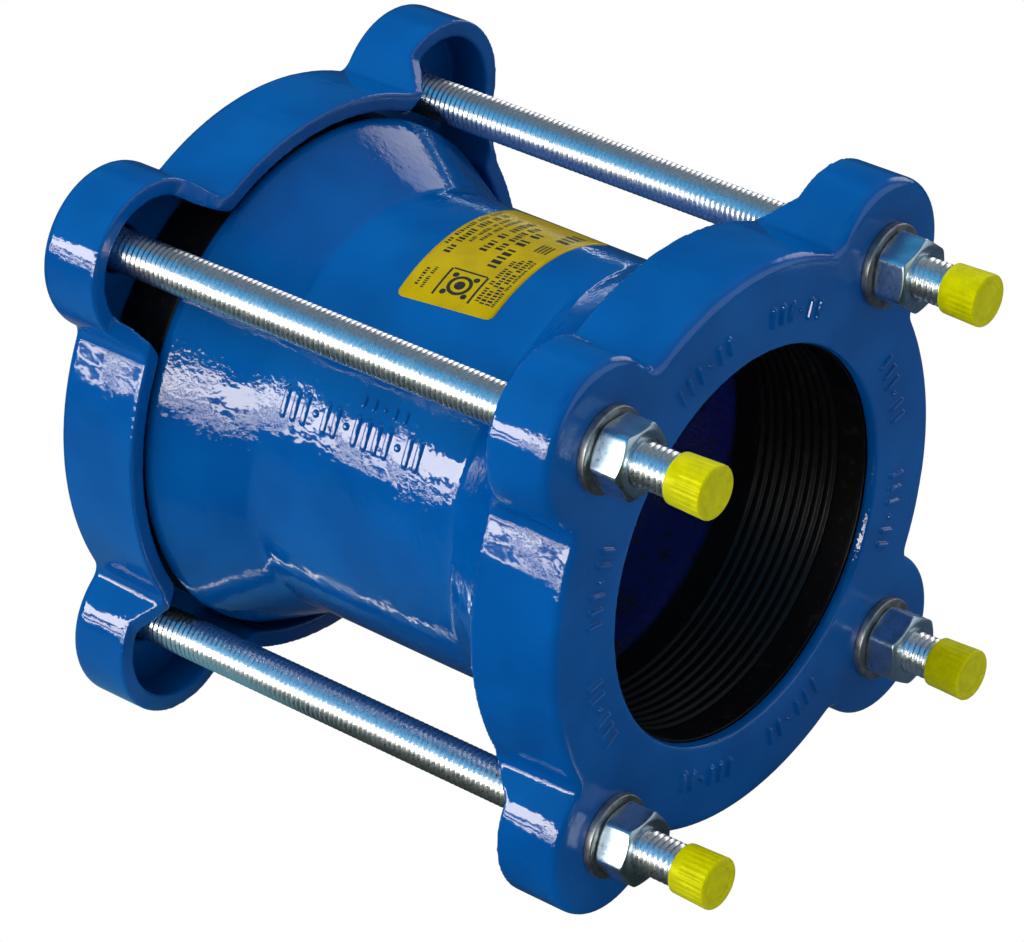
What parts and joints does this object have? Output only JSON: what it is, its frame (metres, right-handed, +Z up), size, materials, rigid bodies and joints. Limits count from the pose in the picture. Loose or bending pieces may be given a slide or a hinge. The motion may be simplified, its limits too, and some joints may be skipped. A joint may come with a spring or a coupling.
{
  "type": "universal pipe coupling",
  "caption": "Wide-range pipe coupling: a cast sleeve with bell mouths, end glands drawn together by long plated bolts and nuts to squeeze ribbed rubber gaskets onto plain pipe ends.",
  "frame": {"origin": "centre of the overall bounding box, on the pipe's axis", "axes": "+X along the pipe towards the end with the nuts and caps, +Z up with the label on top, +Y to the right seen from that end"},
  "size_m": [0.2198, 0.167, 0.167],
  "materials": {
    "blue_epoxy": "thick glossy epoxy over cast iron, slightly orange-peeled",
    "zinc_steel": "bright zinc plating",
    "black_rubber": "satin",
    "yellow_plastic": "semi-gloss moulded, fluted sides",
    "label_film": "printed sticker, satin"
  },
  "bodies": {
    "coupling_body": {"sleeve_body": "blue_epoxy", "gasket_front": "black_rubber", "gasket_rear": "black_rubber", "label": "label_film"},
    "front_gland": {"gland_front": "blue_epoxy", "washer_upper_left": "zinc_steel", "washer_upper_right": "zinc_steel", "washer_lower_left": "zinc_steel", "washer_lower_right": "zinc_steel"},
    "rear_gland": {"gland_rear": "blue_epoxy", "bolt_upper_left": "zinc_steel", "bolt_upper_right": "zinc_steel", "bolt_lower_left": "zinc_steel", "bolt_lower_right": "zinc_steel"},
    "upper_left_nut": {"nut_upper_left": "zinc_steel"},
    "upper_right_nut": {"nut_upper_right": "zinc_steel"},
    "lower_left_nut": {"nut_lower_left": "zinc_steel"},
    "lower_right_nut": {"nut_lower_right": "zinc_steel"},
    "upper_left_cap": {"cap_upper_left": "yellow_plastic"},
    "upper_right_cap": {"cap_upper_right": "yellow_plastic"},
    "lower_left_cap": {"cap_lower_left": "yellow_plastic"},
    "lower_right_cap": {"cap_lower_right": "yellow_plastic"}
  },
  "joints": [
    {"name": "front_gland_slide", "type": "slide", "parent": "coupling_body", "child": "front_gland", "axis": [1, 0, 0], "range_m": [-0.00744, 0.00263], "deforming": ["gasket_front"]},
    {"name": "rear_gland_slide", "type": "slide", "parent": "coupling_body", "child": "rear_gland", "axis": [-1, 0, 0], "range_m": [-0.00744, 0.00263], "deforming": ["gasket_rear"]},
    {"name": "upper_left_nut_turn", "type": "hinge", "parent": "front_gland", "child": "upper_left_nut", "pos_m": [0.08095, -0.05975, 0.05975], "axis": [1, 0, 0], "range_deg": [-3061, 1081]},
    {"name": "upper_right_nut_turn", "type": "hinge", "parent": "front_gland", "child": "upper_right_nut", "pos_m": [0.08095, 0.05975, 0.05975], "axis": [1, 0, 0], "range_deg": [-3061, 1081]},
    {"name": "lower_left_nut_turn", "type": "hinge", "parent": "front_gland", "child": "lower_left_nut", "pos_m": [0.08095, -0.05975, -0.05975], "axis": [1, 0, 0], "range_deg": [-3061, 1081]},
    {"name": "lower_right_nut_turn", "type": "hinge", "parent": "front_gland", "child": "lower_right_nut", "pos_m": [0.08095, 0.05975, -0.05975], "axis": [1, 0, 0], "range_deg": [-3061, 1081]},
    {"name": "upper_left_cap_pull", "type": "slide", "parent": "rear_gland", "child": "upper_left_cap", "axis": [1, 0, 0], "range_m": [0, 0.016]},
    {"name": "upper_right_cap_pull", "type": "slide", "parent": "rear_gland", "child": "upper_right_cap", "axis": [1, 0, 0], "range_m": [0, 0.016]},
    {"name": "lower_left_cap_pull", "type": "slide", "parent": "rear_gland", "child": "lower_left_cap", "axis": [1, 0, 0], "range_m": [0, 0.016]},
    {"name": "lower_right_cap_pull", "type": "slide", "parent": "rear_gland", "child": "lower_right_cap", "axis": [1, 0, 0], "range_m": [0, 0.016]}
  ],
  "couplings": [
    {"joint": "rear_gland_slide", "follows": "front_gland_slide", "ratio": 1},
    {"joint": "upper_left_nut_turn", "follows": "front_gland_slide", "rad_per_m": 7180.8},
    {"joint": "upper_right_nut_turn", "follows": "front_gland_slide", "rad_per_m": 7180.8},
    {"joint": "lower_left_nut_turn", "follows": "front_gland_slide", "rad_per_m": 7180.8},
    {"joint": "lower_right_nut_turn", "follows": "front_gland_slide", "rad_per_m": 7180.8}
  ]
}
